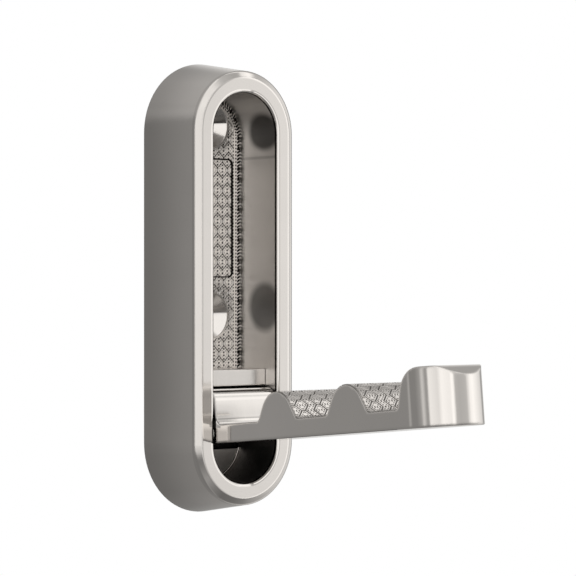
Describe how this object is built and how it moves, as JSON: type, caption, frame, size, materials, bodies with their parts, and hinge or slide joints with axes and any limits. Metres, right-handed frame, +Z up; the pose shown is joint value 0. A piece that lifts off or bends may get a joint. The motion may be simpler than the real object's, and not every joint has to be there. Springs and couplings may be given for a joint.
{
  "type": "folding wall hook",
  "caption": "Fold-flat wall hook: a notched arm with a raised round tip swings up on a cross pin into a stadium-shaped metal housing.",
  "frame": {"origin": "middle of the housing's flat back, on the wall", "axes": "+Z up, along the housing's length; +Y into the wall; the arm opens towards -Y; +X to the right seen from the room"},
  "size_m": [0.0322, 0.0878, 0.1006],
  "materials": {
    "housing_metal": "satin nickel plate",
    "plate_metal": "satin nickel plate, patterned",
    "arm_metal": "polished satin nickel plate",
    "steel": "plain steel",
    "washer_plastic": "plain nylon"
  },
  "bodies": {
    "housing": {"housing": "housing_metal", "back_plate": "plate_metal", "stop_bar": "arm_metal", "hinge_pin": "steel", "pin_washer_left": "washer_plastic", "pin_washer_right": "washer_plastic", "housing_screws": "steel", "bar_screws": "steel"},
    "arm": {"arm": "arm_metal"}
  },
  "joints": [
    {"name": "arm_hinge", "type": "hinge", "parent": "housing", "child": "arm", "pos_m": [0, -0.0138, -0.03174], "axis": [-1, 0, 0], "range_deg": [0, 84.5]}
  ]
}
